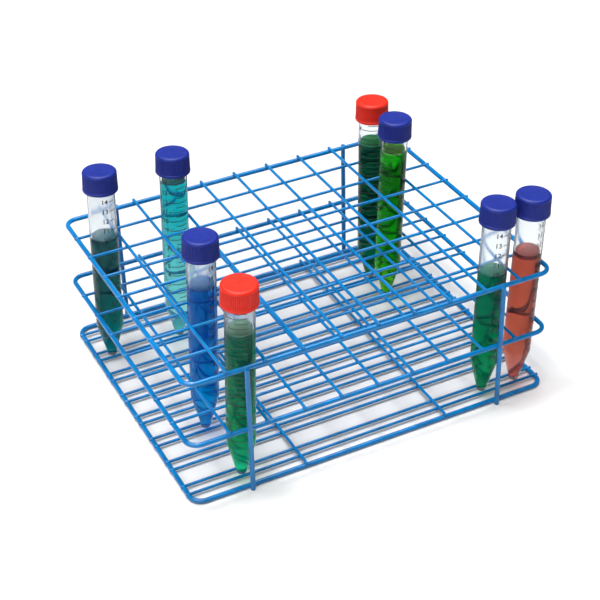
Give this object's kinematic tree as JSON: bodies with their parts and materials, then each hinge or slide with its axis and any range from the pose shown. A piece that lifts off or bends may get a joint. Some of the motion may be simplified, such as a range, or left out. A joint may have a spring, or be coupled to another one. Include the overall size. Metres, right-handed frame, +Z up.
{
  "type": "test tube rack",
  "caption": "Coated wire rack of open square cells in tiers, with cradle wires below, holding capped conical tubes that lift out and screw caps that turn.",
  "frame": {"origin": "on the bench, under the middle of the rack", "axes": "+X along the long wires, +Y from front to back, +Z up"},
  "size_m": [0.2259, 0.1894, 0.1269],
  "materials": {
    "coated_wire": "gloss epoxy coating over steel wire",
    "clear_plastic": "clear moulded polypropylene",
    "blue_cap": "satin moulded polyethylene",
    "red_cap": "satin moulded polyethylene",
    "liner": "soft white sealing disc",
    "dark_teal_liquid": "dyed water",
    "cyan_liquid": "dyed water",
    "blue_liquid": "dyed water",
    "deep_green_liquid": "dyed water",
    "bottle_green_liquid": "dyed water",
    "lime_green_liquid": "dyed water",
    "green_liquid": "dyed water",
    "orange_red_liquid": "dyed water"
  },
  "bodies": {
    "rack": {"top_rim": "coated_wire", "middle_rim": "coated_wire", "bottom_rim": "coated_wire", "post_front_left": "coated_wire", "post_front_right": "coated_wire", "post_back_left": "coated_wire", "post_back_right": "coated_wire", "top_long_wire_1": "coated_wire", "top_long_wire_2": "coated_wire", "top_long_wire_3": "coated_wire", "top_long_wire_4": "coated_wire", "top_long_wire_5": "coated_wire", "top_long_wire_6": "coated_wire", "top_long_wire_7": "coated_wire", "top_cross_wire_1": "coated_wire", "top_cross_wire_2": "coated_wire", "top_cross_wire_3": "coated_wire", "top_cross_wire_4": "coated_wire", "top_cross_wire_5": "coated_wire", "top_cross_wire_6": "coated_wire", "top_cross_wire_7": "coated_wire", "top_cross_wire_8": "coated_wire", "top_cross_wire_9": "coated_wire", "middle_long_wires": "coated_wire", "middle_cross_wires": "coated_wire", "bottom_cradle_wires": "coated_wire", "bottom_brace_wires": "coated_wire"},
    "tube_1": {"tube_1": "clear_plastic", "tube_1_liquid": "dark_teal_liquid"},
    "liner_1": {"tube_1_liner": "liner"},
    "cap_1": {"tube_1_cap": "blue_cap"},
    "tube_2": {"tube_2": "clear_plastic", "tube_2_liquid": "cyan_liquid"},
    "liner_2": {"tube_2_liner": "liner"},
    "cap_2": {"tube_2_cap": "blue_cap"},
    "tube_3": {"tube_3": "clear_plastic", "tube_3_liquid": "blue_liquid"},
    "liner_3": {"tube_3_liner": "liner"},
    "cap_3": {"tube_3_cap": "blue_cap"},
    "tube_4": {"tube_4": "clear_plastic", "tube_4_liquid": "deep_green_liquid"},
    "liner_4": {"tube_4_liner": "liner"},
    "cap_4": {"tube_4_cap": "red_cap"},
    "tube_5": {"tube_5": "clear_plastic", "tube_5_liquid": "bottle_green_liquid"},
    "liner_5": {"tube_5_liner": "liner"},
    "cap_5": {"tube_5_cap": "red_cap"},
    "tube_6": {"tube_6": "clear_plastic", "tube_6_liquid": "lime_green_liquid"},
    "liner_6": {"tube_6_liner": "liner"},
    "cap_6": {"tube_6_cap": "blue_cap"},
    "tube_7": {"tube_7": "clear_plastic", "tube_7_liquid": "green_liquid"},
    "liner_7": {"tube_7_liner": "liner"},
    "cap_7": {"tube_7_cap": "blue_cap"},
    "tube_8": {"tube_8": "clear_plastic", "tube_8_liquid": "orange_red_liquid"},
    "liner_8": {"tube_8_liner": "liner"},
    "cap_8": {"tube_8_cap": "blue_cap"}
  },
  "joints": [
    {"name": "tube_1_lift", "type": "slide", "parent": "rack", "child": "tube_1", "axis": [0.0466, 0.027, 0.9985], "range_m": [0, 0.1]},
    {"name": "cap_1_rise", "type": "slide", "parent": "tube_1", "child": "liner_1", "axis": [0.0466, 0.027, 0.9985], "range_m": [0, 0.0046]},
    {"name": "cap_1_turn", "type": "hinge", "parent": "liner_1", "child": "cap_1", "pos_m": [-0.09597, 0.06006, 0.12489], "axis": [0.0466, 0.027, 0.9985], "range_deg": [0, 540]},
    {"name": "tube_2_lift", "type": "slide", "parent": "rack", "child": "tube_2", "axis": [0.0466, 0.0216, 0.9987], "range_m": [0, 0.1]},
    {"name": "cap_2_rise", "type": "slide", "parent": "tube_2", "child": "liner_2", "axis": [0.0466, 0.0216, 0.9987], "range_m": [0, 0.0046]},
    {"name": "cap_2_turn", "type": "hinge", "parent": "liner_2", "child": "cap_2", "pos_m": [-0.05157, 0.0594, 0.12491], "axis": [0.0466, 0.0216, 0.9987], "range_deg": [0, 540]},
    {"name": "tube_3_lift", "type": "slide", "parent": "rack", "child": "tube_3", "axis": [0.0466, 0.0216, 0.9987], "range_m": [0, 0.1]},
    {"name": "cap_3_rise", "type": "slide", "parent": "tube_3", "child": "liner_3", "axis": [0.0466, 0.0216, 0.9987], "range_m": [0, 0.0046]},
    {"name": "cap_3_turn", "type": "hinge", "parent": "liner_3", "child": "cap_3", "pos_m": [-0.07377, -0.0314, 0.12491], "axis": [0.0466, 0.0216, 0.9987], "range_deg": [0, 540]},
    {"name": "tube_4_lift", "type": "slide", "parent": "rack", "child": "tube_4", "axis": [0.0302, -0.0203, 0.9993], "range_m": [0, 0.1]},
    {"name": "cap_4_rise", "type": "slide", "parent": "tube_4", "child": "liner_4", "axis": [0.0302, -0.0203, 0.9993], "range_m": [0, 0.0046]},
    {"name": "cap_4_turn", "type": "hinge", "parent": "liner_4", "child": "cap_4", "pos_m": [-0.07449, -0.08195, 0.12499], "axis": [0.0302, -0.0203, 0.9993], "range_deg": [0, 540]},
    {"name": "tube_5_lift", "type": "slide", "parent": "rack", "child": "tube_5", "axis": [0.0254, 0.027, 0.9993], "range_m": [0, 0.1]},
    {"name": "cap_5_rise", "type": "slide", "parent": "tube_5", "child": "liner_5", "axis": [0.0254, 0.027, 0.9993], "range_m": [0, 0.0046]},
    {"name": "cap_5_turn", "type": "hinge", "parent": "liner_5", "child": "cap_5", "pos_m": [0.08032, 0.06007, 0.12499], "axis": [0.0254, 0.027, 0.9993], "range_deg": [0, 540]},
    {"name": "tube_6_lift", "type": "slide", "parent": "rack", "child": "tube_6", "axis": [0.0391, -0.0054, 0.9992], "range_m": [0, 0.1]},
    {"name": "cap_6_rise", "type": "slide", "parent": "tube_6", "child": "liner_6", "axis": [0.0391, -0.0054, 0.9992], "range_m": [0, 0.0046]},
    {"name": "cap_6_turn", "type": "hinge", "parent": "liner_6", "child": "cap_6", "pos_m": [0.0813, 0.03339, 0.12497], "axis": [0.0391, -0.0054, 0.9992], "range_deg": [0, 540]},
    {"name": "tube_7_lift", "type": "slide", "parent": "rack", "child": "tube_7", "axis": [0.0443, 0.0081, 0.999], "range_m": [0, 0.1]},
    {"name": "cap_7_rise", "type": "slide", "parent": "tube_7", "child": "liner_7", "axis": [0.0443, 0.0081, 0.999], "range_m": [0, 0.0046]},
    {"name": "cap_7_turn", "type": "hinge", "parent": "liner_7", "child": "cap_7", "pos_m": [0.08134, -0.07845, 0.12495], "axis": [0.0443, 0.0081, 0.999], "range_deg": [0, 540]},
    {"name": "tube_8_lift", "type": "slide", "parent": "rack", "child": "tube_8", "axis": [0.04, -0.002, 0.9992], "range_m": [0, 0.1]},
    {"name": "cap_8_rise", "type": "slide", "parent": "tube_8", "child": "liner_8", "axis": [0.04, -0.002, 0.9992], "range_m": [0, 0.0046]},
    {"name": "cap_8_turn", "type": "hinge", "parent": "liner_8", "child": "cap_8", "pos_m": [0.10302, -0.0797, 0.12497], "axis": [0.04, -0.002, 0.9992], "range_deg": [0, 540]}
  ],
  "couplings": [
    {"joint": "cap_1_rise", "follows": "cap_1_turn", "m_per_rad": 0.00047746},
    {"joint": "cap_2_rise", "follows": "cap_2_turn", "m_per_rad": 0.00047746},
    {"joint": "cap_3_rise", "follows": "cap_3_turn", "m_per_rad": 0.00047746},
    {"joint": "cap_4_rise", "follows": "cap_4_turn", "m_per_rad": 0.00047746},
    {"joint": "cap_5_rise", "follows": "cap_5_turn", "m_per_rad": 0.00047746},
    {"joint": "cap_6_rise", "follows": "cap_6_turn", "m_per_rad": 0.00047746},
    {"joint": "cap_7_rise", "follows": "cap_7_turn", "m_per_rad": 0.00047746},
    {"joint": "cap_8_rise", "follows": "cap_8_turn", "m_per_rad": 0.00047746}
  ]
}
